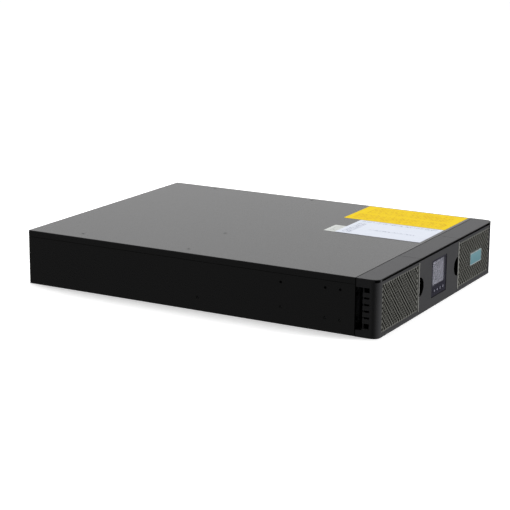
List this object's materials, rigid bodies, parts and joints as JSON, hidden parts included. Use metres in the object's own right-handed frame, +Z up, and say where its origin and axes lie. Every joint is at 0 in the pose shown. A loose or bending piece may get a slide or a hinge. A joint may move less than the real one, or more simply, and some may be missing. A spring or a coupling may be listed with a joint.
{
  "type": "uninterruptible power supply",
  "caption": "Low flat rack-mount uninterruptible power supply with mesh front covers, a pull-out display, sockets and fans at the rear, and batteries inside.",
  "frame": {"origin": "under the middle of the whole unit, on the surface it stands on", "axes": "+X is the width, the front faces -Y, +Z up"},
  "size_m": [0.44, 0.61, 0.086],
  "materials": {
    "black_powder_coat": "satin black powder coat",
    "zinc_steel": "zinc-plated sheet steel",
    "black_screw": "black zinc-plated screws",
    "bezel_abs": "fine-textured dark grey ABS",
    "grille_abs": "dark grey moulded mesh",
    "badge_foil": "printed teal plate with a silver edge",
    "display_abs": "smooth dark moulded housing",
    "display_pane": "clear hard-coated pane",
    "lcd_glass": "unlit grey-violet liquid crystal display",
    "circuit_board": "green solder mask",
    "switch_body": "black moulded epoxy",
    "button_rubber": "dark grey keys with pale marks",
    "socket_nylon": "black glass-filled nylon",
    "connector_grey": "grey polycarbonate",
    "nickel_pin": "nickel-plated brass blades",
    "reset_cap": "white push caps",
    "fan_pbt": "black PBT",
    "guard_wire": "bright nickel-plated wire",
    "port_shell": "tinned steel shell",
    "terminal_green": "green terminal block",
    "brass_stud": "brass stud and nuts",
    "battery_case": "grey ABS battery case",
    "heatsink_aluminium": "extruded aluminium",
    "capacitor_sleeve": "blue-black shrink sleeve",
    "inductor_core": "taped winding on ferrite",
    "nylon_post": "natural nylon"
  },
  "bodies": {
    "chassis": {"base_pan": "black_powder_coat", "top_cover": "black_powder_coat", "front_bulkhead": "black_powder_coat", "rear_panel": "black_powder_coat", "option_slot_cover": "black_powder_coat", "battery_retainer": "zinc_steel", "bay_divider": "zinc_steel", "battery_tray": "zinc_steel", "cross_brace": "zinc_steel", "side_nuts": "zinc_steel", "cover_screws": "black_screw", "rear_screws": "black_screw", "retainer_screws": "black_screw", "thumbscrews": "black_screw", "centre_panel": "bezel_abs", "display_cradle": "bezel_abs", "power_board": "circuit_board", "control_board": "circuit_board", "power_transistors": "switch_body", "outlets": "socket_nylon", "large_outlet": "socket_nylon", "power_inlet": "socket_nylon", "breakers": "socket_nylon", "battery_connector": "connector_grey", "inlet_pins": "nickel_pin", "fan_frames": "fan_pbt", "fan_guards": "guard_wire", "usb_port": "port_shell", "shutdown_terminal": "terminal_green", "ground_stud": "brass_stud", "battery_1": "battery_case", "battery_2": "battery_case", "battery_3": "battery_case", "battery_4": "battery_case", "battery_5": "battery_case", "battery_6": "battery_case", "heatsinks": "heatsink_aluminium", "bus_capacitors": "capacitor_sleeve", "inductors": "inductor_core", "charger_transformer": "inductor_core", "board_standoffs": "nylon_post"},
    "left_cover": {"left_end_cover": "bezel_abs", "left_grille": "grille_abs"},
    "right_cover": {"right_end_cover": "bezel_abs", "right_grille": "grille_abs", "badge": "badge_foil"},
    "display": {"display_housing": "display_abs", "display_window": "display_pane", "lcd_panel": "lcd_glass", "display_board": "circuit_board", "display_back": "display_abs", "display_switches": "switch_body"},
    "fan_1": {"fan_rotor_1": "fan_pbt"},
    "fan_2": {"fan_rotor_2": "fan_pbt"},
    "reset_1": {"reset_button_1": "reset_cap"},
    "reset_2": {"reset_button_2": "reset_cap"},
    "up_key": {"up_button": "button_rubber"},
    "down_key": {"down_button": "button_rubber"},
    "enter_key": {"enter_button": "button_rubber"},
    "power_key": {"power_button": "button_rubber"}
  },
  "joints": [
    {"name": "left_cover_pull", "type": "slide", "parent": "chassis", "child": "left_cover", "axis": [0, -1, 0], "range_m": [0, 0.06]},
    {"name": "right_cover_pull", "type": "slide", "parent": "chassis", "child": "right_cover", "axis": [0, -1, 0], "range_m": [0, 0.06]},
    {"name": "display_pull", "type": "slide", "parent": "chassis", "child": "display", "axis": [0, -1, 0], "range_m": [0, 0.02]},
    {"name": "up_press", "type": "slide", "parent": "display", "child": "up_key", "axis": [0, 1, 0], "range_m": [0, 0.0008], "stiffness_N_per_m": 400, "springref_m": -0.0006},
    {"name": "down_press", "type": "slide", "parent": "display", "child": "down_key", "axis": [0, 1, 0], "range_m": [0, 0.0008], "stiffness_N_per_m": 400, "springref_m": -0.0006},
    {"name": "enter_press", "type": "slide", "parent": "display", "child": "enter_key", "axis": [0, 1, 0], "range_m": [0, 0.0008], "stiffness_N_per_m": 400, "springref_m": -0.0006},
    {"name": "power_press", "type": "slide", "parent": "display", "child": "power_key", "axis": [0, 1, 0], "range_m": [0, 0.0008], "stiffness_N_per_m": 400, "springref_m": -0.0006},
    {"name": "fan_1_spin", "type": "hinge", "parent": "chassis", "child": "fan_1", "pos_m": [0.0844, 0.283, 0.0418], "axis": [0, 1, 0], "continuous": true},
    {"name": "fan_2_spin", "type": "hinge", "parent": "chassis", "child": "fan_2", "pos_m": [0.1646, 0.283, 0.0418], "axis": [0, 1, 0], "continuous": true},
    {"name": "reset_1_pop", "type": "slide", "parent": "chassis", "child": "reset_1", "axis": [0, 1, 0], "range_m": [0, 0.004]},
    {"name": "reset_2_pop", "type": "slide", "parent": "chassis", "child": "reset_2", "axis": [0, 1, 0], "range_m": [0, 0.004]}
  ]
}
